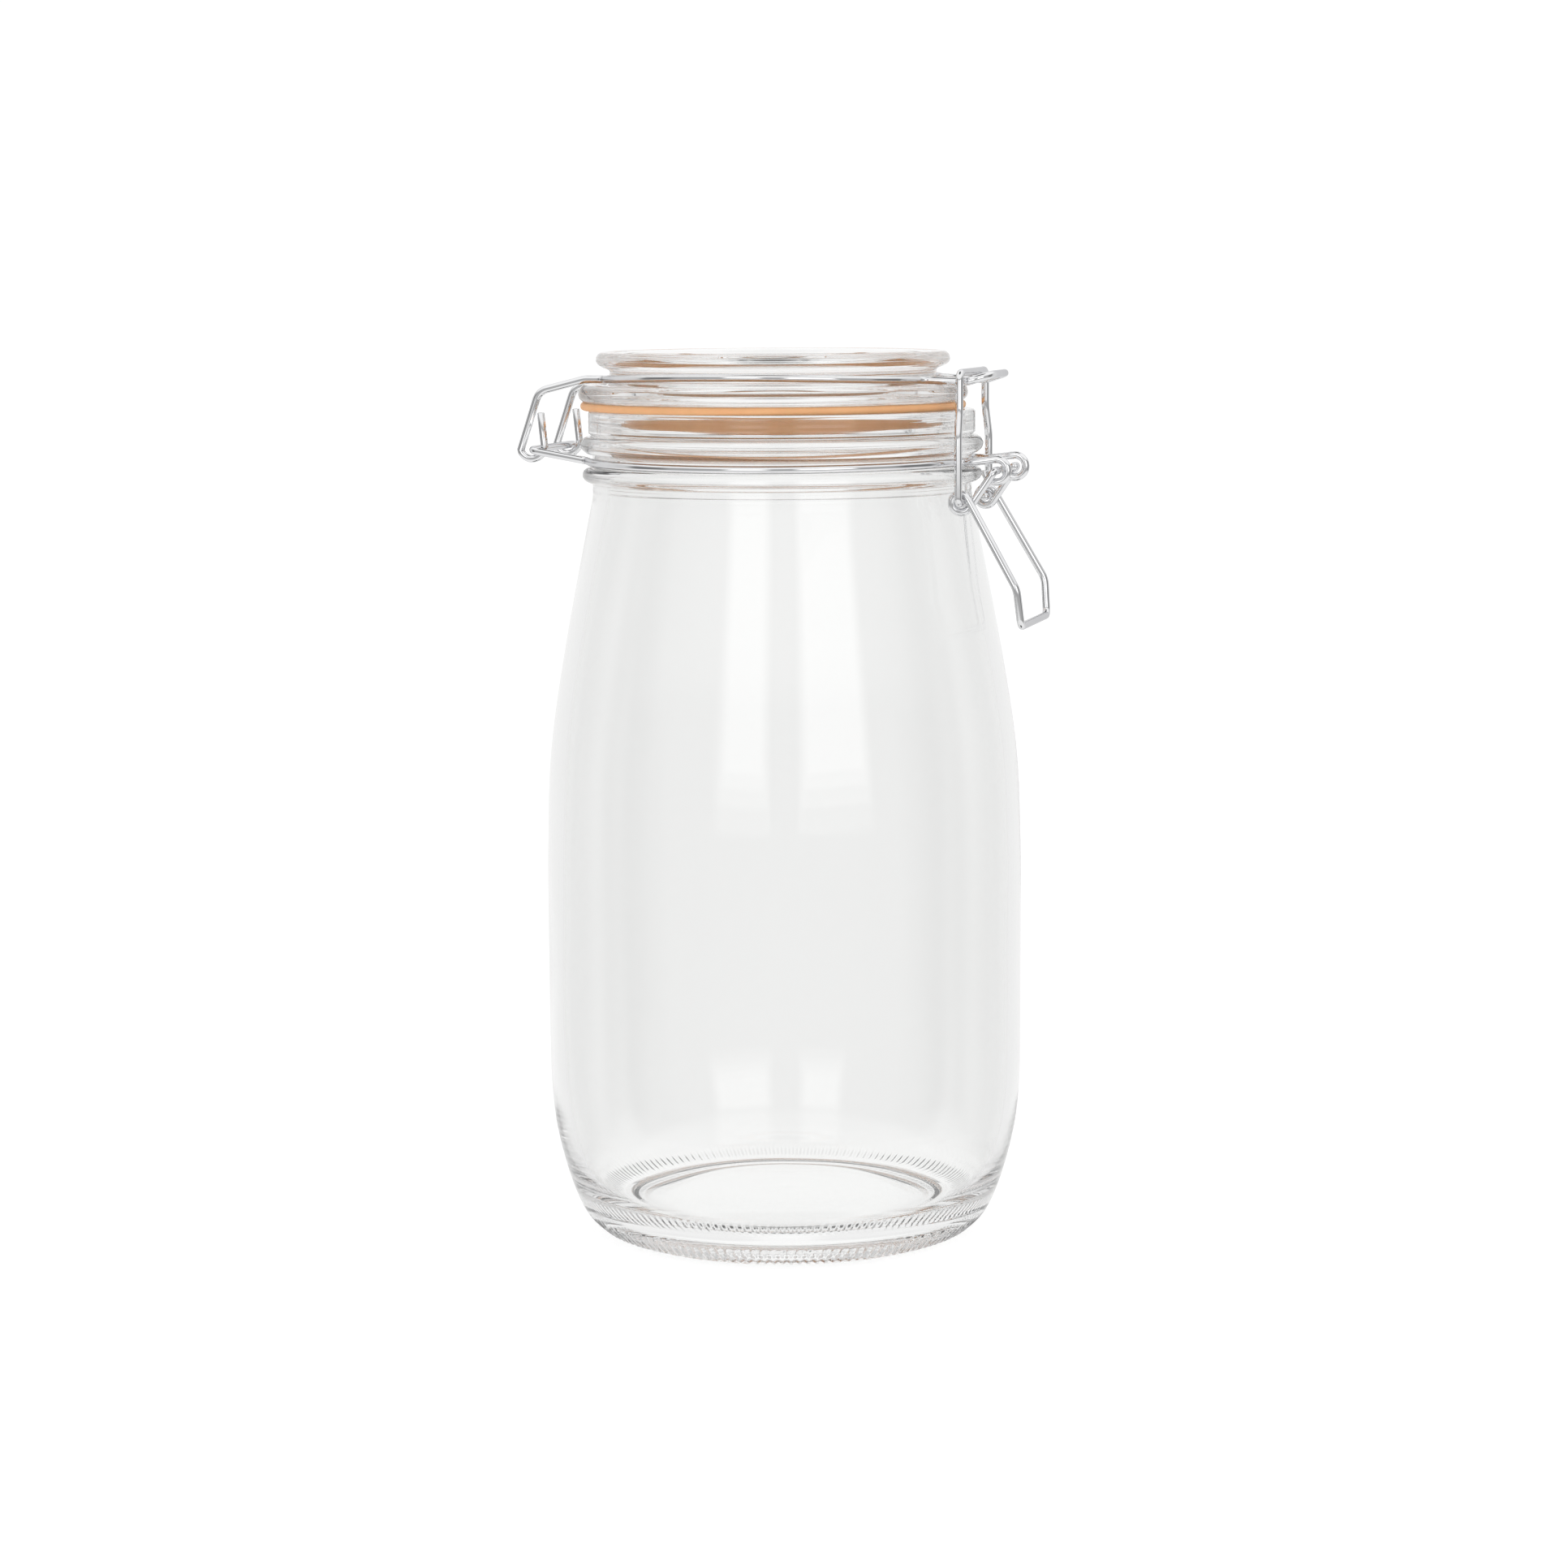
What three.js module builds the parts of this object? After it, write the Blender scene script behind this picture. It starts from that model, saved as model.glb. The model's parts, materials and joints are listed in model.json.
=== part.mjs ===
// Clip-top glass storage jar: blown jar, pressed lid, rubber ring and a four-piece wire latch.
// Millimetres, +Z up. The origin is on the jar's axis at the surface it stands on.
// +X points to the latch, and the hinge and latch pivots run along Y.
import * as THREE from 'three';

// ---- driving dimensions ----
const bodyRadius = 59.2;       // widest part of the jar, a straight stretch of wall
const bodyLow = 43;            // height where the heel's curve meets the straight wall
const bodyHigh = 95;           // height where the straight wall turns into the shoulder
const wall = 3.6;              // glass thickness of the body
const neckRadius = 46.75;      // glass between the two beads, where the neck wire lies
const finishRadius = 47.7;     // ring of glass that the rubber seal rests on
const mouthRadius = 40.6;      // bore of the mouth, where its rounded lip is narrowest
const lipRound = 2.6;          // radius of that lip
const rimHeight = 205;         // top face of the jar
const sealThickness = 1.4;
const touchGap = 0.3;          // gap left where two pieces touch
const lidShift = -2.2;         // the closed lid sits a little towards its hinge
const lidFlangeRadius = 48;
const lidGrooveRadius = 40.25; // waist of the lid, where the lid wire lies
const lidRimRadius = 43.6;
const plugRadius = 36.4;       // ring under the lid that the seal is stretched over
const lidHeight = 219.2;       // top of the closed jar
const wireRadius = 0.95;

// ---- heights and places that follow from them ----
const sealLow = rimHeight + touchGap;
const sealHigh = sealLow + sealThickness;
const lidLow = sealHigh + touchGap;
const neckWireHeight = 192.75;
const neckWireRingRadius = neckRadius + wireRadius + 0.35;
const lidWireHeight = 212.4;
const lidWireRingRadius = lidGrooveRadius + wireRadius + touchGap;
const hinge = { x: -59.6, z: 195.3 };      // crossbar that the lid's hooks turn on
const leverPivot = { x: 56.25, z: 190.8 };  // eyes of the neck wire
const bailPivot = { x: 48.3, z: 183.1 };   // coils of the lever
const noseTip = { x: 54.5, z: 213.7 };     // front loop of the lid wire
const bailTop = { x: 48, z: 214.2 };       // crossbar of the bail, hooked over the nose

const latheSegments = 48;
const wireSides = 8;
const ringStep = THREE.MathUtils.degToRad(5);
const bendStep = THREE.MathUtils.degToRad(24);

// ---- outlines of the turned pieces, as (radius, height) points ----
const at = (radius, height) => new THREE.Vector2(radius, height);

// A smooth curve through a few points, with its last point left to the next stretch.
function smooth(points, steps) {
  return new THREE.SplineCurve(points).getPoints(steps).slice(0, -1);
}

// Part of an ellipse, from one angle to another in degrees, both ends included.
function arc(radius, height, acrossRadius, upRadius, from, to, steps) {
  const points = [];
  for (let i = 0; i <= steps; i += 1) {
    const angle = THREE.MathUtils.degToRad(from + ((to - from) * i) / steps);
    points.push(at(radius + acrossRadius * Math.cos(angle), height + upRadius * Math.sin(angle)));
  }
  return points;
}

function jarOutline() {
  const outside = [
    at(0, 3.4),
    at(29.5, 3.0),
    at(31.5, 2.2),
    at(38.5, 1.6),
    at(40.6, 0),
    at(43.6, 0),
    ...smooth([at(47.2, 1.2), at(51.2, 5.5), at(54.7, 14), at(57.7, 25.5), at(bodyRadius, bodyLow)], 8),
    at(bodyRadius, bodyLow),
    ...smooth([at(bodyRadius, bodyHigh), at(57.9, 122), at(53.6, 149.5), at(46.8, 184)], 8),
    at(46.8, 184),
    ...arc(46.8, 189.2, 2.5, 2.0, -90, 90, 5),
    at(neckRadius, 191.5),
    ...arc(46.9, 196.5, 2.7, 2.3, -90, 90, 5),
    at(finishRadius, 199.4),
    ...arc(finishRadius - 0.8, rimHeight - 0.8, 0.8, 0.8, 0, 90, 2),
  ];
  const inner = bodyRadius - wall;
  const inside = [
    ...arc(mouthRadius + lipRound, rimHeight - lipRound, lipRound, lipRound, 90, 270, 6),
    at(43.0, 192),
    ...smooth([at(43.0, 184), at(50.0, 149), at(54.3, 122), at(inner, bodyHigh)], 6),
    at(inner, bodyHigh),
    ...smooth([at(inner, bodyLow), at(52.5, 19), at(46.8, 9.2), at(40.2, 5.9)], 6),
    at(40.2, 5.9),
    at(30, 7.2),
    at(24, 8.2),
    at(0, 8.4),
  ];
  return [...outside, ...inside];
}

function lidOutline() {
  return [
    at(0, 210.2),
    at(28, 210.2),
    at(30.4, 208.6),
    at(plugRadius - 5.2, 202.6),
    ...arc(plugRadius - 2.7, 202.2, 1.6, 1.6, 200, 340, 3),
    at(plugRadius - 0.2, 204.2),
    at(plugRadius, lidLow),
    at(46.6, lidLow),
    ...arc(46.1, 209.1, lidFlangeRadius - 46.1, 2.2, -58, 75, 5),
    at(42.6, 211.1),
    at(41.0, 211.2),
    at(lidGrooveRadius, 212),
    at(lidGrooveRadius, 214.8),
    at(42.0, 215.4),
    ...arc(lidRimRadius - 1.9, lidHeight - 1.9, 1.9, 1.9, -35, 90, 4),
    at(39.2, 218.7),
    at(36.4, 216.5),
    at(0, 216.2),
  ];
}

// A flat ring whose inner edge turns down round the lid's plug.
function sealOutline() {
  const inner = plugRadius + touchGap;
  const collar = inner + 1;
  const collarLow = 200.5;
  return [
    at(inner, sealHigh),
    at(inner, collarLow),
    at(collar - 0.5, collarLow),
    at(collar, collarLow + 1),
    at(collar, sealLow),
    at(47.0, sealLow),
    at(47.5, sealLow + sealThickness / 2),
    at(47.0, sealHigh),
    at(inner, sealHigh),
  ];
}

function turned(outline) {
  return new THREE.LatheGeometry(outline, latheSegments).rotateX(Math.PI / 2);
}

// ---- bent wires ----
const point = (x, y, z, bend = 0) => ({ place: new THREE.Vector3(x, y, z), bend });

// Points along a wire: each corner with a bend radius becomes an arc of that radius.
function bentWire(corners) {
  const line = [corners[0].place];
  for (let i = 1; i < corners.length - 1; i += 1) {
    const { place, bend } = corners[i];
    const back = corners[i - 1].place.clone().sub(place).normalize();
    const ahead = corners[i + 1].place.clone().sub(place).normalize();
    const turn = Math.PI - back.angleTo(ahead);
    if (bend === 0 || turn < bendStep / 2) {
      line.push(place);
      continue;
    }
    const centre = back.clone().add(ahead).normalize();
    centre.multiplyScalar(bend / Math.cos(turn / 2)).add(place);
    const start = back.multiplyScalar(bend * Math.tan(turn / 2)).add(place).sub(centre);
    const end = ahead.multiplyScalar(bend * Math.tan(turn / 2)).add(place).sub(centre);
    const axis = start.clone().cross(end).normalize();
    const steps = Math.ceil(turn / bendStep);
    for (let k = 0; k <= steps; k += 1) {
      line.push(start.clone().applyAxisAngle(axis, (turn * k) / steps).add(centre));
    }
  }
  line.push(corners.at(-1).place);
  return line;
}

// A path that is cut into sections at its own points, not at even distances.
class WirePath extends THREE.Curve {
  constructor(points) {
    super();
    this.points = points;
  }

  getPoint(t, target = new THREE.Vector3()) {
    const along = t * (this.points.length - 1);
    const i = Math.min(Math.floor(along), this.points.length - 2);
    return target.lerpVectors(this.points[i], this.points[i + 1], along - i);
  }

  getUtoTmapping(u) {
    return u;
  }
}

function wire(points) {
  const section = [];
  for (let i = 0; i < wireSides; i += 1) {
    const angle = ((i + 0.5) / wireSides) * 2 * Math.PI;
    section.push(at(wireRadius * Math.cos(angle), wireRadius * Math.sin(angle)));
  }
  return new THREE.ExtrudeGeometry(new THREE.Shape(section), {
    steps: points.length - 1,
    extrudePath: new WirePath(points),
    bevelEnabled: false,
  });
}

// A wire that is the same on both sides: the half at +Y starts at the middle, on Y = 0.
function bothSides(half) {
  const mirrored = half.slice(1).map(({ x, y, z }) => new THREE.Vector3(x, -y, z));
  return [...mirrored.reverse(), ...half];
}

// Corners along a ring, between the places where it is y1 and y2 off the middle line.
// It runs from the back to the front, and its sides stand `bow` higher than its ends.
function ring(radius, middleX, height, bow, backY, frontY) {
  const from = Math.PI - Math.asin(backY / radius);
  const to = Math.asin(frontY / radius);
  const steps = Math.round((from - to) / ringStep);
  const corners = [];
  for (let i = 0; i <= steps; i += 1) {
    const angle = from + ((to - from) * i) / steps;
    const z = height + bow * Math.sin(angle) ** 2;
    corners.push(point(middleX + radius * Math.cos(angle), radius * Math.sin(angle), z));
  }
  return corners;
}

// Part of a coil round an axis along Y, from one angle to another in degrees.
function coil(centre, radius, from, to, fromY, toY, steps) {
  const corners = [];
  for (let i = 0; i <= steps; i += 1) {
    const part = i / steps;
    const angle = THREE.MathUtils.degToRad(from + (to - from) * part);
    const x = centre.x + radius * Math.cos(angle);
    const z = centre.z + radius * Math.sin(angle);
    corners.push(point(x, fromY + (toY - fromY) * part, z));
  }
  return corners;
}

// Ring in the neck's groove, a hinge loop behind and two eyes in front.
function neckWire() {
  const armY = 17;
  const eyeY = 11;
  const eyeRadius = 2.75;
  const around = ring(neckWireRingRadius, 0, neckWireHeight, -0.35, armY, eyeY);
  around[0].bend = 2.2;
  around.at(-1).bend = 2.6;
  return bothSides(bentWire([
    point(hinge.x, 0, hinge.z),
    point(hinge.x, armY, hinge.z, 2.2),
    ...around,
    point(51, eyeY, neckWireHeight + 0.1),
    ...coil(leverPivot, eyeRadius, 90, -182, eyeY, eyeY, 12),
  ]));
}

// Ring in the lid's waist, two legs with hooks round the hinge loop, and the nose in front.
function lidWire() {
  const legY = 14;
  const noseY = 11;
  const hook = { x: hinge.x - 0.6, z: hinge.z + 0.9 };
  const hookRadius = 3.2;
  const around = ring(lidWireRingRadius, lidShift, lidWireHeight, 1.3, legY, noseY);
  around[0].bend = 3;
  around.at(-1).bend = 3;
  const leg = [
    point(-57.9, legY, 204.4),
    ...coil(hook, hookRadius, 0, -160, legY, legY, 7),
    point(-58.3, legY, 209.6, 4),
    point(-46.2, legY, lidWireHeight + 0.2, 6),
  ];
  const nose = [
    point(49, noseY, lidWireHeight - 0.4, 6),
    point(noseTip.x, noseY, noseTip.z, 4.5),
    point(noseTip.x, 0, noseTip.z),
  ];
  return bothSides(bentWire([...leg, ...around, ...nose]).reverse());
}

// Handle, turned once round each bail pin and hung in the neck wire's eyes.
function latchLever() {
  const diagonalY = 13.9;
  const handleY = 15.7;
  return bothSides(bentWire([
    point(63.4, 0, 153.8),
    point(63.4, 16, 153.8, 2.2),
    point(62.6, 17.5, 162.7, 6),
    ...coil(bailPivot, 2.2, 31, 323, handleY, diagonalY, 13),
    point(leverPivot.x, diagonalY, leverPivot.z, 1.3),
    point(leverPivot.x, 9.3, leverPivot.z),
  ]));
}

// Bail that pulls the nose down: its pins turn in the lever's coils.
function latchBail() {
  return bothSides(bentWire([
    point(bailTop.x, 0, bailTop.z),
    point(bailTop.x, 15, bailTop.z, 2.2),
    point(bailTop.x, 15, 205.5, 8),
    point(bailPivot.x, 17.8, 198.5, 8),
    point(bailPivot.x, 17.8, bailPivot.z, 1.6),
    point(bailPivot.x, 11.9, bailPivot.z),
  ]));
}

// ---- the assembly ----
const glass = { color: 0xe9eeec, roughness: 0.05, metalness: 0, transparent: true, opacity: 0.35 };
const rubber = { color: 0xd9995c, roughness: 0.6, metalness: 0 };
const steel = { color: 0xc9cbce, roughness: 0.2, metalness: 1 };

const canister = new THREE.Group();

function addPiece(name, geometry, look) {
  const piece = new THREE.Mesh(geometry, new THREE.MeshStandardMaterial(look));
  piece.name = name;
  canister.add(piece);
  return piece;
}

addPiece('glass_jar', turned(jarOutline()), glass);
addPiece('neck_wire', wire(neckWire()), steel);
addPiece('glass_lid', turned(lidOutline()), glass).position.x = lidShift;
addPiece('rubber_seal', turned(sealOutline()), rubber).position.x = lidShift;
addPiece('lid_wire', wire(lidWire()), steel);
addPiece('latch_lever', wire(latchLever()), steel);
addPiece('latch_bail', wire(latchBail()), steel);

export default canister;
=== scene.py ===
# Looks of the clip-top glass canister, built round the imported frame.
# Lengths named below are in millimetres, in the CAD frame: +Z up, +X to the latch.
import json
import math

import bmesh
import bpy
from mathutils import Matrix, Vector, noise


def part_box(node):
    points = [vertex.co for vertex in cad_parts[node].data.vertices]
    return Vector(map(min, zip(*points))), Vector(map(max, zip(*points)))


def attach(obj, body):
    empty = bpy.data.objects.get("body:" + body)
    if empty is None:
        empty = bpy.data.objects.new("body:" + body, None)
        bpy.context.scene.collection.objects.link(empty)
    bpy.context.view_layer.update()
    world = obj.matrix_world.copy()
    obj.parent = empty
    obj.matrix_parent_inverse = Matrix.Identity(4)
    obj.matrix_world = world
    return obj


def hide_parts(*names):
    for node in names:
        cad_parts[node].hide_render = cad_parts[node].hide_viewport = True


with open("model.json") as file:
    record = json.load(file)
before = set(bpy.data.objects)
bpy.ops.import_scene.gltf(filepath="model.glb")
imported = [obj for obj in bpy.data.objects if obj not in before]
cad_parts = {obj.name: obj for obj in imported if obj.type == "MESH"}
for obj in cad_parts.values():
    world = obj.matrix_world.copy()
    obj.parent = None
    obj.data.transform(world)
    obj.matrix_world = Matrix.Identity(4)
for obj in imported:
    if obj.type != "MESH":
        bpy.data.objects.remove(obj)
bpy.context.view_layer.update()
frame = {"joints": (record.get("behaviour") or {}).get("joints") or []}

MM = 0.001

# ---- sizes read from the frame ----


def node_box(name):
    """Lowest and highest corner of a CAD node, in millimetres."""
    low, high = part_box(name)
    return low / MM, high / MM


_, jar_high = node_box("glass_jar")
lid_low, lid_high = node_box("glass_lid")
seal_low, seal_high = node_box("rubber_seal")
hinge_joint, lever_joint, bail_joint = frame["joints"]

BODY_RADIUS = jar_high.y
RIM_HEIGHT = jar_high.z
LID_HEIGHT = lid_high.z
LID_RADIUS = lid_high.y
LID_SHIFT = (lid_low.x + lid_high.x) / 2
SEAL_RADIUS = seal_high.y
HINGE = Vector(hinge_joint["pos_m"]) / MM
LEVER_PIVOT = Vector(lever_joint["pos_m"]) / MM
BAIL_PIVOT = Vector(bail_joint["pos_m"]) / MM

# ---- sizes that the part's design gives ----
WALL = 3.6
BODY_LOW = 43
BODY_HIGH = 95
NECK_RADIUS = 46.75
FINISH_RADIUS = 47.7
MOUTH_RADIUS = 40.6
LIP_ROUND = 2.6
PLUG_RADIUS = 36.4
LID_GROOVE_RADIUS = 40.25
LID_RIM_RADIUS = 43.6
WIRE_RADIUS = 0.95
NECK_WIRE_HEIGHT = 192.75
NECK_WIRE_RING = NECK_RADIUS + WIRE_RADIUS + 0.35
LID_WIRE_HEIGHT = 212.4
LID_WIRE_RING = LID_GROOVE_RADIUS + WIRE_RADIUS + 0.3
LID_LOW_FACE = seal_high.z + 0.3
NOSE_TIP = Vector((54.5, 0, 213.7))
BAIL_TOP = Vector((48, 0, 214.2))

# ---- outlines, as (radius, height) points ----


def smooth(points, steps):
    """A Catmull-Rom curve through the points, without its last point."""
    line = []
    spans = len(points) - 1
    for i in range(steps):
        along = i / steps * spans
        k = int(along)
        t = along - k
        p0, p1 = Vector(points[max(k - 1, 0)]), Vector(points[k])
        p2, p3 = Vector(points[k + 1]), Vector(points[min(k + 2, spans)])
        v0, v1 = (p2 - p0) / 2, (p3 - p1) / 2
        cubic = (2 * p1 - 2 * p2 + v0 + v1) * t**3
        square = (-3 * p1 + 3 * p2 - 2 * v0 - v1) * t**2
        line.append(tuple(cubic + square + v0 * t + p1))
    return line


def arc(radius, height, across, up, start, end, steps):
    """Part of an ellipse, angles in degrees."""
    line = []
    for i in range(steps + 1):
        angle = math.radians(start + (end - start) * i / steps)
        line.append((radius + across * math.cos(angle), height + up * math.sin(angle)))
    return line


def soften(outline, fillet=0.5, steps=4):
    """The outline with its sharp corners rounded, by arcs that reach `fillet` along each side."""
    line = [outline[0]]
    for before, here, after in zip(outline, outline[1:], outline[2:]):
        p, q, r = Vector(before), Vector(here), Vector(after)
        back, ahead = p - q, r - q
        if back.length < 1e-6 or ahead.length < 1e-6:
            continue
        if back.angle(-ahead) < math.radians(14):
            line.append(here)
            continue
        reach = min(fillet, back.length * 0.45, ahead.length * 0.45)
        start, end = q + back.normalized() * reach, q + ahead.normalized() * reach
        for k in range(steps + 1):
            t = k / steps
            line.append(tuple(start.lerp(q, t).lerp(q.lerp(end, t), t)))
    line.append(outline[-1])
    return line


def ringed(outline, depth=0.022, step=0.3):
    """The outline in short steps, with the faint rings that a mould leaves round pressed glass."""
    line = []
    travelled = 0.0
    for here, after in zip(outline, outline[1:]):
        p, q = Vector(here), Vector(after)
        side = Vector(((q - p).y, -(q - p).x)).normalized()
        count = max(1, round((q - p).length / step))
        for k in range(count):
            place = travelled + (q - p).length * k / count
            wave = math.sin(place * 5.1) + 0.7 * math.sin(place * 3.3 + 1) + 0.5 * math.sin(place * 8.3)
            line.append(tuple(p.lerp(q, k / count) + side * (depth * wave)))
        travelled += (q - p).length
    line.append(outline[-1])
    return line


def jar_outline():
    """Base, outside, finish (the moulded neck) and inside."""
    inner = BODY_RADIUS - WALL
    straight = 12
    low, high = BODY_LOW + 17, BODY_HIGH - 13
    outer_heel = [
        (47.2, 1.2),
        (51.2, 5.5),
        (54.7, 14),
        (57.6, 25.5),
        (58.9, 37),
        (BODY_RADIUS - 0.03, BODY_LOW + 7),
        (BODY_RADIUS, low),
    ]
    outer_shoulder = [
        (BODY_RADIUS, high),
        (BODY_RADIUS - 0.1, BODY_HIGH + 2),
        (57.9, 122),
        (53.6, 149.5),
        (46.8, 184),
    ]
    inner_shoulder = [(43.0, 184), (50.0, 149), (54.3, 122), (inner - 0.1, BODY_HIGH + 2), (inner, high)]
    inner_heel = [
        (inner, low),
        (inner - 0.03, BODY_LOW + 7),
        (55.3, 37),
        (53.9, 25.8),
        (50.9, 15.8),
        (46.4, 9.6),
        (40.2, 6.8),
        (30, 7.2),
        (18, 8.1),
        (0, 8.4),
    ]
    base = [(0, 3.4), (15, 3.2), (28, 2.8), (34, 2.2), (38.6, 1.3), (41.2, 0), (43.6, 0)]
    rise = high - low
    outside = [
        *smooth(outer_heel, 42),
        *[(BODY_RADIUS, low + rise * k / straight) for k in range(straight)],
        *smooth(outer_shoulder, 42),
    ]
    finish = [
        (46.8, 184),
        *arc(46.8, 189.2, 2.5, 2.0, -90, 90, 16),
        (NECK_RADIUS, 191.5),
        (NECK_RADIUS, 193.9),
        *arc(46.9, 196.5, 2.7, 2.3, -90, 90, 18),
        (FINISH_RADIUS, 199.4),
        (FINISH_RADIUS, 201.6),
        *arc(FINISH_RADIUS - 0.9, RIM_HEIGHT - 0.9, 0.9, 0.9, 0, 90, 8),
        *arc(MOUTH_RADIUS + LIP_ROUND, RIM_HEIGHT - LIP_ROUND, LIP_ROUND, LIP_ROUND, 90, 270, 28),
    ]
    inside = [
        (43.0, 192),
        *smooth(inner_shoulder, 36),
        *[(inner, high - rise * k / straight) for k in range(straight)],
        *smooth(inner_heel, 63),
        (0, 8.4),
    ]
    return base, outside, finish, inside


def lid_outline():
    flange_middle = 46.1
    flange_round = LID_RADIUS - flange_middle
    rim_round = 1.9
    under = [
        (0, 210.2),
        (14, 210.2),
        (28, 210.2),
        (30.4, 208.6),
        (PLUG_RADIUS - 5.2, 202.6),
        *arc(PLUG_RADIUS - 2.7, 202.2, 1.6, 1.6, 200, 340, 8),
        (PLUG_RADIUS - 0.2, 204.2),
        (PLUG_RADIUS, LID_LOW_FACE),
        (46.6, LID_LOW_FACE),
    ]
    side = [
        (46.6, LID_LOW_FACE),
        *arc(flange_middle, 209.1, flange_round, 2.2, -58, 75, 16),
        (42.6, 211.1),
        (41.0, 211.2),
        (LID_GROOVE_RADIUS, 212),
        (LID_GROOVE_RADIUS, 214.8),
        (42.0, 215.4),
        *arc(LID_RIM_RADIUS - rim_round, LID_HEIGHT - rim_round, rim_round, rim_round, -35, 90, 14),
        (39.2, LID_HEIGHT - 0.3),
        (36.4, 216.5),
    ]
    top = [(36.4, 216.5), (18, 216.25), (0, 216.2)]
    return under, side, top


def seal_outline():
    """A flat ring between the glass faces, whose inner edge turns down round the plug.

    A thin gap keeps it off the glass, as dry rubber is, so that the glass face over it still shines.
    """
    inner = PLUG_RADIUS + 0.15
    collar = inner + 1.3
    bulge = (LID_LOW_FACE - RIM_HEIGHT) / 2
    middle = RIM_HEIGHT + bulge
    gap = 0.05
    top, bottom = LID_LOW_FACE - gap, RIM_HEIGHT + gap
    return [
        (inner, top),
        (inner, seal_low.z),
        (collar - 0.4, seal_low.z),
        (collar, seal_low.z + 0.6),
        (collar, RIM_HEIGHT - 1.2),
        (collar + 1.0, bottom),
        *arc(SEAL_RADIUS - 0.8, middle, 0.8, bulge - gap, -90, 90, 12),
        (inner, top),
    ]


# ---- mesh builders ----


def new_piece(name, mesh_builder, body, node, material):
    """A finished piece: it rides on its body, stands for its CAD node and has its material."""
    bmesh.ops.remove_doubles(mesh_builder, verts=mesh_builder.verts, dist=0.0005)
    bmesh.ops.recalc_face_normals(mesh_builder, faces=mesh_builder.faces)
    mesh_builder.transform(Matrix.Scale(MM, 4))
    for face in mesh_builder.faces:
        face.smooth = True
    mesh = bpy.data.meshes.new(name)
    mesh_builder.to_mesh(mesh)
    mesh_builder.free()
    mesh.materials.append(material)
    piece = bpy.data.objects.new(name, mesh)
    bpy.context.scene.collection.objects.link(piece)
    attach(piece, body)
    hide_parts(node)
    return piece


def turned(rows, middle_x=0.0):
    """A mesh turned round the vertical axis.

    rows holds (points round, function of the angle giving (radius, height)) from one end to the
    other. A row's count is the same as the last one's, or a whole number of times more or fewer.
    """
    bm = bmesh.new()
    previous = None
    for count, place in rows:
        ring = []
        for i in range(count):
            angle = 2 * math.pi * i / count
            radius, height = place(angle)
            x = middle_x + radius * math.cos(angle)
            ring.append(bm.verts.new((x, radius * math.sin(angle), height)))
            if radius == 0:
                break
        if previous:
            join_rings(bm, previous, ring)
        previous = ring
    return bm


def join_rings(bm, low, high):
    """Faces between two rings; where one has more points, each of the other's edges takes several."""
    if len(low) > len(high):
        low, high = high, low
    if len(low) == 1:
        for i, vert in enumerate(high):
            bm.faces.new((low[0], vert, high[(i + 1) % len(high)]))
        return
    share = len(high) // len(low)
    for i, vert in enumerate(low):
        fan = [high[(i * share + k) % len(high)] for k in range(share, -1, -1)]
        bm.faces.new((vert, low[(i + 1) % len(low)], *fan))


def plain_rows(outline, count):
    """Rows with the same outline at every angle."""
    return [(count, lambda angle, p=point: p) for point in outline]


# ---- wires ----


def corner(x, y, z, bend=0.0):
    return Vector((x, y, z)), bend


def bent_wire(corners, step=math.radians(7)):
    """Points along a wire whose corners are bent to the given radii."""
    line = [corners[0][0]]
    for (before, _), (here, bend), (after, _) in zip(corners, corners[1:], corners[2:]):
        back, ahead = (before - here).normalized(), (after - here).normalized()
        turn = math.pi - back.angle(ahead)
        if bend == 0 or turn < step:
            line.append(here)
            continue
        centre = here + (back + ahead).normalized() * (bend / math.cos(turn / 2))
        reach = bend * math.tan(turn / 2)
        start, end = here + back * reach - centre, here + ahead * reach - centre
        axis = start.cross(end).normalized()
        steps = math.ceil(turn / step)
        for k in range(steps + 1):
            line.append(centre + Matrix.Rotation(turn * k / steps, 3, axis) @ start)
    line.append(corners[-1][0])
    return line


def both_sides(half):
    """Both halves of a wire that is the same at +Y and -Y; the half starts on Y = 0."""
    mirrored = [Vector((p.x, -p.y, p.z)) for p in half[:0:-1]]
    return mirrored + half


def ring(radius, middle_x, height, bow, back_y, front_y, step=math.radians(2)):
    """Corners along a ring from back to front; its sides stand `bow` above its ends."""
    start, end = math.pi - math.asin(back_y / radius), math.asin(front_y / radius)
    steps = round((start - end) / step)
    line = []
    for i in range(steps + 1):
        angle = start + (end - start) * i / steps
        x = middle_x + radius * math.cos(angle)
        line.append(corner(x, radius * math.sin(angle), height + bow * math.sin(angle) ** 2))
    return line


def coil(centre, radius, start, end, start_y, end_y, steps):
    """Corners round an axis along Y, angles in degrees."""
    line = []
    for i in range(steps + 1):
        part = i / steps
        angle = math.radians(start + (end - start) * part)
        x = centre.x + radius * math.cos(angle)
        z = centre.z + radius * math.sin(angle)
        line.append(corner(x, start_y + (end_y - start_y) * part, z))
    return line


def with_bend(corners, index, bend):
    corners[index] = (corners[index][0], bend)


def neck_wire():
    arm_y, eye_y, eye_radius = 17, 11, 2.75
    around = ring(NECK_WIRE_RING, 0, NECK_WIRE_HEIGHT, -0.35, arm_y, eye_y)
    del around[1]
    del around[-2]
    with_bend(around, 0, 2.2)
    with_bend(around, -1, 2.6)
    return both_sides(bent_wire([
        corner(HINGE.x, 0, HINGE.z),
        corner(HINGE.x, arm_y, HINGE.z, 2.2),
        *around,
        corner(51, eye_y, NECK_WIRE_HEIGHT + 0.1, 12),
        *coil(LEVER_PIVOT, eye_radius, 90, -182, eye_y, eye_y, 44),
    ]))


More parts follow.
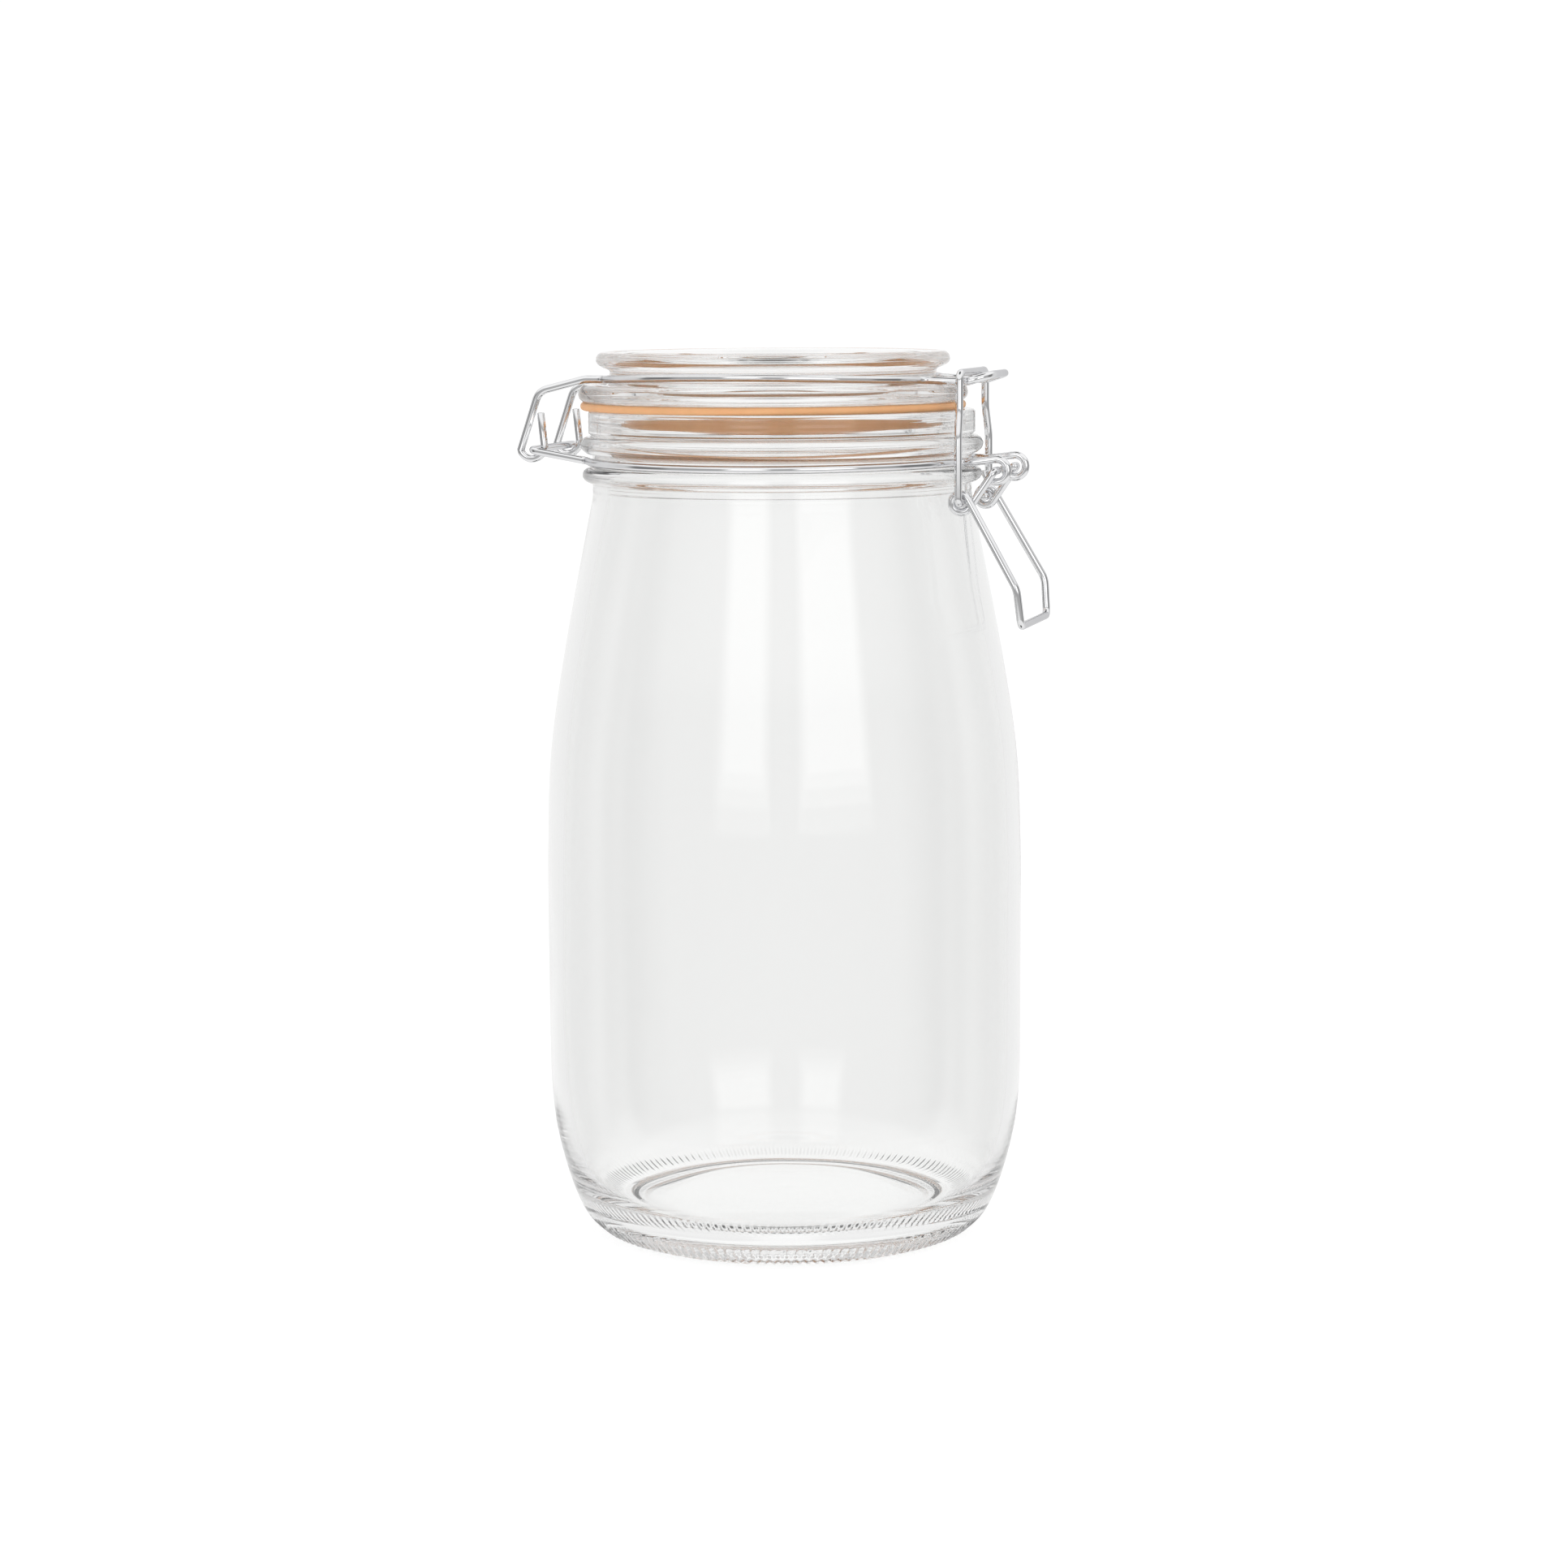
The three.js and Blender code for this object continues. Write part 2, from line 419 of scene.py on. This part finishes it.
def lid_wire():
    leg_y, nose_y, hook_radius = 14, 11, 3.2
    hook = HINGE + Vector((-0.6, 0, 0.9))
    around = ring(LID_WIRE_RING, LID_SHIFT, LID_WIRE_HEIGHT, 1.3, leg_y, nose_y)
    del around[1]
    del around[-2]
    with_bend(around, 0, 3)
    with_bend(around, -1, 3)
    return both_sides(bent_wire([
        corner(NOSE_TIP.x, 0, NOSE_TIP.z),
        corner(NOSE_TIP.x, nose_y, NOSE_TIP.z, 4.5),
        corner(49, nose_y, LID_WIRE_HEIGHT - 0.4, 6),
        *reversed(around),
        corner(-46.2, leg_y, LID_WIRE_HEIGHT + 0.2, 6),
        corner(-58.3, leg_y, 209.6, 4),
        *coil(hook, hook_radius, -160, 0, leg_y, leg_y, 26),
        corner(-57.9, leg_y, 204.4),
    ]))


def latch_lever():
    diagonal_y, handle_y = 13.9, 15.7
    return both_sides(bent_wire([
        corner(63.4, 0, 153.8),
        corner(63.4, 16, 153.8, 2.2),
        corner(62.6, 17.5, 162.7, 6),
        *coil(BAIL_PIVOT, 2.2, 31, 323, handle_y, diagonal_y, 48),
        corner(LEVER_PIVOT.x, diagonal_y, LEVER_PIVOT.z, 1.3),
        corner(LEVER_PIVOT.x, 9.3, LEVER_PIVOT.z),
    ]))


def latch_bail():
    return both_sides(bent_wire([
        corner(BAIL_TOP.x, 0, BAIL_TOP.z),
        corner(BAIL_TOP.x, 15, BAIL_TOP.z, 2.2),
        corner(BAIL_TOP.x, 15, 205.5, 8),
        corner(BAIL_PIVOT.x, 17.8, 198.5, 8),
        corner(BAIL_PIVOT.x, 17.8, BAIL_PIVOT.z, 1.6),
        corner(BAIL_PIVOT.x, 11.9, BAIL_PIVOT.z),
    ]))


def swept(line, radius=WIRE_RADIUS, sides=20):
    """A round wire along a line, with bevelled cut ends and a UV map in millimetres."""
    tangents = []
    for i, here in enumerate(line):
        before, after = line[max(i - 1, 0)], line[min(i + 1, len(line) - 1)]
        tangents.append((after - before).normalized())
    bevel = 0.22
    stations = [(line[0], tangents[0], radius - bevel)]
    stations += [(line[0] + tangents[0] * bevel, tangents[0], radius)]
    stations += [(p, t, radius) for p, t in zip(line[1:-1], tangents[1:-1])]
    stations += [(line[-1] - tangents[-1] * bevel, tangents[-1], radius)]
    stations += [(line[-1], tangents[-1], radius - bevel)]
    bm = bmesh.new()
    uv = bm.loops.layers.uv.new("wire")
    normal = tangents[0].orthogonal().normalized()
    previous, travelled = None, 0.0
    for i, (place, tangent, size) in enumerate(stations):
        normal = (normal - tangent * normal.dot(tangent)).normalized()
        side = tangent.cross(normal)
        loop = []
        for k in range(sides):
            angle = 2 * math.pi * k / sides
            outward = normal * math.cos(angle) + side * math.sin(angle)
            loop.append(bm.verts.new(place + outward * size))
        if previous:
            step = (place - stations[i - 1][0]).length
            for k in range(sides):
                after = (k + 1) % sides
                face = bm.faces.new((previous[k], previous[after], loop[after], loop[k]))
                across, along = 2 * math.pi * radius / sides, travelled
                places = [(k * across, along), ((k + 1) * across, along)]
                places += [((k + 1) * across, along + step), (k * across, along + step)]
                for corner_loop, where in zip(face.loops, places):
                    corner_loop[uv].uv = where
            travelled += step
        else:
            bm.faces.new(loop[::-1])
        previous = loop
    bm.faces.new(previous)
    return bm


# ---- materials ----


def material(name):
    """A new material: its node tree, its shader and a function that adds a node."""
    made = bpy.data.materials.new(name)
    made.use_nodes = True
    tree = made.node_tree
    shader = tree.nodes["Principled BSDF"]

    def add(kind, **values):
        node = tree.nodes.new(kind)
        for key, value in values.items():
            if key in node.inputs:
                node.inputs[key].default_value = value
            else:
                setattr(node, key, value)
        return node

    return made, tree, shader, add


def glass_material():
    made, tree, shader, add = material("glass")
    shader.inputs["Base Color"].default_value = (0.968, 0.970, 0.966, 1)
    shader.inputs["Transmission Weight"].default_value = 1
    shader.inputs["IOR"].default_value = 1.52
    where = add("ShaderNodeTexCoord")
    ripple = add("ShaderNodeTexNoise", Scale=22, Detail=1.5, Roughness=0.4)
    bump = add("ShaderNodeBump", Strength=0.012, Distance=0.002)
    haze = add("ShaderNodeTexNoise", Scale=60, Detail=4, Roughness=0.6)
    rough = add("ShaderNodeMapRange")
    rough.inputs["To Min"].default_value = 0.0
    rough.inputs["To Max"].default_value = 0.03
    tree.links.new(where.outputs["Object"], ripple.inputs["Vector"])
    tree.links.new(where.outputs["Object"], haze.inputs["Vector"])
    tree.links.new(ripple.outputs["Fac"], bump.inputs["Height"])
    tree.links.new(bump.outputs["Normal"], shader.inputs["Normal"])
    tree.links.new(haze.outputs["Fac"], rough.inputs["Value"])
    tree.links.new(rough.outputs["Result"], shader.inputs["Roughness"])
    return made


def rubber_material():
    made, tree, shader, add = material("rubber")
    where = add("ShaderNodeTexCoord")
    cloud = add("ShaderNodeTexNoise", Scale=140, Detail=5, Roughness=0.6)
    colour = add("ShaderNodeValToRGB")
    colour.color_ramp.elements[0].position = 0.3
    colour.color_ramp.elements[0].color = (0.68, 0.35, 0.155, 1)
    colour.color_ramp.elements[1].position = 0.75
    colour.color_ramp.elements[1].color = (0.77, 0.415, 0.195, 1)
    grain = add("ShaderNodeTexNoise", Scale=2400, Detail=3, Roughness=0.7)
    bump = add("ShaderNodeBump", Strength=0.25, Distance=0.00012)
    rough = add("ShaderNodeMapRange")
    rough.inputs["To Min"].default_value = 0.42
    rough.inputs["To Max"].default_value = 0.62
    shader.inputs["Subsurface Weight"].default_value = 0.12
    shader.inputs["Subsurface Scale"].default_value = 0.002
    for noise_node in (cloud, grain):
        tree.links.new(where.outputs["Object"], noise_node.inputs["Vector"])
    tree.links.new(cloud.outputs["Fac"], colour.inputs["Fac"])
    tree.links.new(colour.outputs["Color"], shader.inputs["Base Color"])
    tree.links.new(cloud.outputs["Fac"], rough.inputs["Value"])
    tree.links.new(rough.outputs["Result"], shader.inputs["Roughness"])
    tree.links.new(grain.outputs["Fac"], bump.inputs["Height"])
    tree.links.new(bump.outputs["Normal"], shader.inputs["Normal"])
    return made


def steel_material():
    made, tree, shader, add = material("steel")
    shader.inputs["Metallic"].default_value = 1
    shader.inputs["Specular Tint"].default_value = (0.7, 0.7, 0.71, 1)
    where = add("ShaderNodeTexCoord")
    stretch = add("ShaderNodeMapping")
    stretch.inputs["Scale"].default_value = (6.0, 0.12, 1.0)
    draw = add("ShaderNodeTexNoise", Scale=1.0, Detail=5, Roughness=0.65)
    patches = add("ShaderNodeTexNoise", Scale=90, Detail=4, Roughness=0.6)
    tone = add("ShaderNodeValToRGB")
    tone.color_ramp.elements[0].position = 0.25
    tone.color_ramp.elements[0].color = (0.80, 0.805, 0.82, 1)
    tone.color_ramp.elements[1].position = 0.7
    tone.color_ramp.elements[1].color = (0.92, 0.92, 0.925, 1)
    rough = add("ShaderNodeMapRange")
    rough.inputs["To Min"].default_value = 0.05
    rough.inputs["To Max"].default_value = 0.14
    bump = add("ShaderNodeBump", Strength=0.08, Distance=0.00003)
    tree.links.new(where.outputs["UV"], stretch.inputs["Vector"])
    tree.links.new(stretch.outputs["Vector"], draw.inputs["Vector"])
    tree.links.new(where.outputs["Object"], patches.inputs["Vector"])
    tree.links.new(patches.outputs["Fac"], tone.inputs["Fac"])
    tree.links.new(tone.outputs["Color"], shader.inputs["Base Color"])
    tree.links.new(patches.outputs["Fac"], rough.inputs["Value"])
    tree.links.new(rough.outputs["Result"], shader.inputs["Roughness"])
    tree.links.new(draw.outputs["Fac"], bump.inputs["Height"])
    tree.links.new(bump.outputs["Normal"], shader.inputs["Normal"])
    return made


# ---- pieces ----
COARSE = 256  # points round each ring of glass; the ribbed rings have RIB_DETAIL times as many
RIB_DETAIL = 3
RIBS = 144
RIB_DEPTH = 0.6
RIB_RING = 48.5
RIB_REACH = 3.6
OUTER_WAVE, OUTER_WAVE_LENGTH = 0.05, 16
INNER_WAVE, INNER_WAVE_LENGTH = 0.12, 30
WAVE_STRETCH = 1.6
WAVE_LOW, WAVE_HIGH = 8, 190


def rib_weight(radius):
    """How deep the ribs under the heel are: full at RIB_RING, fading out RIB_REACH away from it."""
    return max(0.0, 1 - ((radius - RIB_RING) / RIB_REACH) ** 2)


def ribbed(point):
    """An outline point lifted by the ribs round the heel."""
    radius, height = point

    def place(angle):
        valley = 0.5 + 0.5 * math.cos(RIBS * angle)
        return radius, height + RIB_DEPTH * rib_weight(radius) * valley

    return place


def wavy(point, depth, length):
    """Blown glass: its surface wanders a little, always inwards; the wave fades out at both ends."""
    radius, height = point
    fade = min(1.0, max(0.0, (height - WAVE_LOW) / 12), max(0.0, (WAVE_HIGH - height) / 15))

    def place(angle):
        turn = Vector((math.cos(angle), math.sin(angle), 0)) * (BODY_RADIUS / length)
        lift = Vector((0, 0, height / length / WAVE_STRETCH))
        return radius + depth * fade * (noise.noise(turn + lift) - 0.5), height

    return place


def build_jar():
    base, outside, finish, inside = jar_outline()
    rows = []
    # The base and the ribbed start of the heel; the last points only end the softened outline.
    for point in soften(base + outside[:10], 0.6)[:-3]:
        if rib_weight(point[0]) > 0:
            rows.append((COARSE * RIB_DETAIL, ribbed(point)))
        else:
            rows += plain_rows([point], COARSE)
    rows += [(COARSE, wavy(point, OUTER_WAVE, OUTER_WAVE_LENGTH)) for point in outside[8:]]
    rows += plain_rows(ringed(finish), COARSE)
    rows += [(COARSE, wavy(point, INNER_WAVE, INNER_WAVE_LENGTH)) for point in soften(inside, 1.2)]
    return turned(rows)


def build_lid():
    under, side, top = lid_outline()
    outline = soften(under, 0.7)[:-1] + ringed(soften(side, 0.7)) + top[1:]
    return turned(plain_rows(outline, COARSE), LID_SHIFT)


def build_pieces():
    glass, rubber, steel = glass_material(), rubber_material(), steel_material()
    new_piece("jar_glass", build_jar(), "jar", "glass_jar", glass)
    new_piece("lid_glass", build_lid(), "lid", "glass_lid", glass)
    seal = turned(plain_rows(seal_outline(), COARSE), LID_SHIFT)
    new_piece("seal_ring", seal, "lid", "rubber_seal", rubber)
    wires = [
        ("wire_neck", neck_wire, "jar", "neck_wire"),
        ("wire_lid", lid_wire, "lid", "lid_wire"),
        ("wire_lever", latch_lever, "lever", "latch_lever"),
        ("wire_bail", latch_bail, "bail", "latch_bail"),
    ]
    for name, line, body, node in wires:
        new_piece(name, swept(line()), body, node, steel)


# ---- camera and studio ----
CAMERA_AZIMUTH = math.radians(15)
CAMERA_PITCH = math.radians(7.7)
CAMERA_ROLL = math.radians(-0.33)
CAMERA_DISTANCE = 0.934
CAMERA_HEIGHT = 0.238
ROOM_RADIUS = 2.2
# Greys of the room from the camera's side (0) round to straight behind the jar (1), with a dark
# flag on each side that draws thin dark lines along the wires.
ROOM_SWEEP = [
    (0, 0.42),
    (0.3, 0.42),
    (0.36, 0.2),
    (0.54, 0.2),
    (0.6, 0.66),
    (0.91, 0.87),
    (0.985, 0.9),
    (0.998, 1.0),
]
# Greys from straight down (0) to straight up (1): a bright floor and ceiling, then two dark caps.
ROOM_ENDS = [(0.27, 0.9), (0.37, 0), (0.66, 0), (0.78, 1.0)]
ROOM_CAPS = [(0.014, 0.08), (0.03, 1), (0.965, 1), (0.985, 0.08)]
# Light on matte surfaces behind glass: no caustics are traced, so it is given here.
FILL_BEHIND_GLASS = 1.4
WORLD_GREY = 1.03
FLOOR_GREY = 0.3
FLOOR_GLOW = 0.8
# Each softbox: its side, its azimuth in degrees from the front, and its width in metres.
SOFTBOXES = [("left", -5, 0.62), ("right", 40, 0.86)]
SOFTBOX_LAYERS = 4
SOFTBOX_INSET = 0.035
SOFTBOX_GAP = 0.01
SOFTBOX_TOP = 0.72
SOFTBOX_DISTANCE = 1.3
SOFTBOX_GLOW = 0.3
BOUNCES = 40


def add_camera():
    camera = bpy.data.objects.new("camera", bpy.data.cameras.new("camera"))
    bpy.context.scene.collection.objects.link(camera)
    camera.data.lens = 86.65
    camera.data.sensor_width = 36
    camera.location = (
        CAMERA_DISTANCE * math.sin(CAMERA_AZIMUTH),
        -CAMERA_DISTANCE * math.cos(CAMERA_AZIMUTH),
        CAMERA_HEIGHT,
    )
    heading = Matrix.Rotation(CAMERA_AZIMUTH, 3, "Z")
    level = heading @ Matrix.Rotation(math.pi / 2 - CAMERA_PITCH, 3, "X")
    camera.rotation_euler = (level @ Matrix.Rotation(CAMERA_ROLL, 3, "Z")).to_euler()
    bpy.context.scene.camera = camera


def stage_piece(name, mesh_builder, made):
    """A floor or backdrop: part of the studio, not of the canister."""
    mesh = bpy.data.meshes.new(name)
    mesh_builder.to_mesh(mesh)
    mesh_builder.free()
    mesh.materials.append(made)
    piece = bpy.data.objects.new(name, mesh)
    bpy.context.scene.collection.objects.link(piece)
    return piece


def add_floor():
    """A white floor that only takes a faint contact shadow."""
    made, tree, shader, add = material("pale_floor")
    shader.inputs["Base Color"].default_value = (FLOOR_GREY, FLOOR_GREY, FLOOR_GREY, 1)
    shader.inputs["Roughness"].default_value = 0.7
    shader.inputs["Specular IOR Level"].default_value = 0
    shader.inputs["Emission Color"].default_value = (1, 1, 1, 1)
    shader.inputs["Emission Strength"].default_value = FLOOR_GLOW
    disc = bmesh.new()
    bmesh.ops.create_circle(disc, cap_ends=True, segments=96, radius=6)
    floor = stage_piece("floor", disc, made)
    floor.visible_glossy = False
    floor.visible_transmission = False


def ramp(add, stops):
    """A colour ramp of greys, from (position, grey) stops."""
    node = add("ShaderNodeValToRGB")
    elements = node.color_ramp.elements
    while len(elements) < len(stops):
        elements.new(0.5)
    for element, (position, grey) in zip(elements, stops):
        element.position = position
        element.color = (grey, grey, grey, 1)
    return node


# Places of the colour sockets of a Mix node.
MIX_A, MIX_B, MIX_RESULT = 6, 7, 2


def mixed(add, blend):
    """A full blend of two colours."""
    node = add("ShaderNodeMix", data_type="RGBA", blend_type=blend)
    node.inputs["Factor"].default_value = 1
    return node


def add_room():
    """The studio that glass and steel mirror: darker round the camera, a pale sweep elsewhere."""
    made, tree, shader, add = material("studio_room")
    where = add("ShaderNodeTexCoord")
    flat = add("ShaderNodeVectorMath", operation="MULTIPLY")
    flat.inputs[1].default_value = (1, 1, 0)
    heading = add("ShaderNodeVectorMath", operation="NORMALIZE")
    facing = add("ShaderNodeVectorMath", operation="DOT_PRODUCT")
    facing.inputs[1].default_value = (math.sin(CAMERA_AZIMUTH), -math.cos(CAMERA_AZIMUTH), 0)
    away = add("ShaderNodeMapRange")
    away.inputs["From Min"].default_value = 1
    away.inputs["From Max"].default_value = -1
    sweep = ramp(add, ROOM_SWEEP)
    upright = add("ShaderNodeVectorMath", operation="NORMALIZE")
    split = add("ShaderNodeSeparateXYZ")
    height = add("ShaderNodeMapRange")
    height.inputs["From Min"].default_value = -1
    height.inputs["From Max"].default_value = 1
    ends = ramp(add, ROOM_ENDS)
    caps = ramp(add, ROOM_CAPS)
    brighter = mixed(add, "LIGHTEN")
    capped = mixed(add, "MULTIPLY")
    path = add("ShaderNodeLightPath")
    fill = add("ShaderNodeMapRange")
    fill.inputs["To Max"].default_value = FILL_BEHIND_GLASS
    lit = mixed(add, "LIGHTEN")
    shader.inputs["Base Color"].default_value = (0, 0, 0, 1)
    shader.inputs["Specular IOR Level"].default_value = 0
    shader.inputs["Emission Strength"].default_value = 1
    tree.links.new(where.outputs["Object"], flat.inputs[0])
    tree.links.new(flat.outputs["Vector"], heading.inputs[0])
    tree.links.new(heading.outputs["Vector"], facing.inputs[0])
    tree.links.new(facing.outputs["Value"], away.inputs["Value"])
    tree.links.new(away.outputs["Result"], sweep.inputs["Fac"])
    tree.links.new(where.outputs["Object"], upright.inputs[0])
    tree.links.new(upright.outputs["Vector"], split.inputs["Vector"])
    tree.links.new(split.outputs["Z"], height.inputs["Value"])
    tree.links.new(height.outputs["Result"], ends.inputs["Fac"])
    tree.links.new(height.outputs["Result"], caps.inputs["Fac"])
    tree.links.new(sweep.outputs["Color"], brighter.inputs[MIX_A])
    tree.links.new(ends.outputs["Color"], brighter.inputs[MIX_B])
    tree.links.new(brighter.outputs[MIX_RESULT], capped.inputs[MIX_A])
    tree.links.new(caps.outputs["Color"], capped.inputs[MIX_B])
    tree.links.new(capped.outputs[MIX_RESULT], lit.inputs[MIX_A])
    tree.links.new(path.outputs["Diffuse Depth"], fill.inputs["Value"])
    tree.links.new(fill.outputs["Result"], lit.inputs[MIX_B])
    tree.links.new(lit.outputs[MIX_RESULT], shader.inputs["Emission Color"])
    made.cycles.emission_sampling = "NONE"
    ball = bmesh.new()
    bmesh.ops.create_icosphere(ball, subdivisions=5, radius=ROOM_RADIUS)
    room = stage_piece("studio_room", ball, made)
    room.location = (0, 0, 0.15)
    room.visible_camera = False
    room.visible_diffuse = False
    room.visible_shadow = False


def add_world():
    world = bpy.data.worlds.new("studio")
    bpy.context.scene.world = world
    world.use_nodes = True
    grey = (WORLD_GREY, WORLD_GREY, WORLD_GREY, 1)
    world.node_tree.nodes["Background"].inputs["Color"].default_value = grey


def add_softbox(name, azimuth, distance, width, low, high, glow):
    """An upright soft light that faces the jar, from one height to another."""
    light = bpy.data.objects.new(name, bpy.data.lights.new(name, "AREA"))
    bpy.context.scene.collection.objects.link(light)
    light.data.shape = "RECTANGLE"
    light.data.size = width
    light.data.size_y = high - low
    light.data.energy = glow * math.pi * width * (high - low)
    turn = math.radians(azimuth)
    light.location = (distance * math.sin(turn), -distance * math.cos(turn), (low + high) / 2)
    light.rotation_euler = (math.pi / 2, 0, turn)
    light.visible_camera = False


def set_up_studio():
    scene = bpy.context.scene
    scene.view_settings.view_transform = "Standard"
    scene.cycles.max_bounces = BOUNCES
    scene.cycles.transmission_bounces = BOUNCES
    scene.cycles.glossy_bounces = BOUNCES
    add_floor()
    add_world()
    add_room()
    # Each softbox is a stack of smaller and smaller lights, so that its mirror image has soft edges.
    # They stand a little apart, because only one of two lights in the same place is seen.
    for layer in range(SOFTBOX_LAYERS):
        inset = SOFTBOX_INSET * layer
        low, high = 2 * inset, SOFTBOX_TOP - inset
        away = SOFTBOX_DISTANCE + SOFTBOX_GAP * layer
        for side, azimuth, width in SOFTBOXES:
            name = f"softbox_{side}_{layer}"
            add_softbox(name, azimuth, away, width - 2 * inset, low, high, SOFTBOX_GLOW)


add_camera()
build_pieces()
set_up_studio()
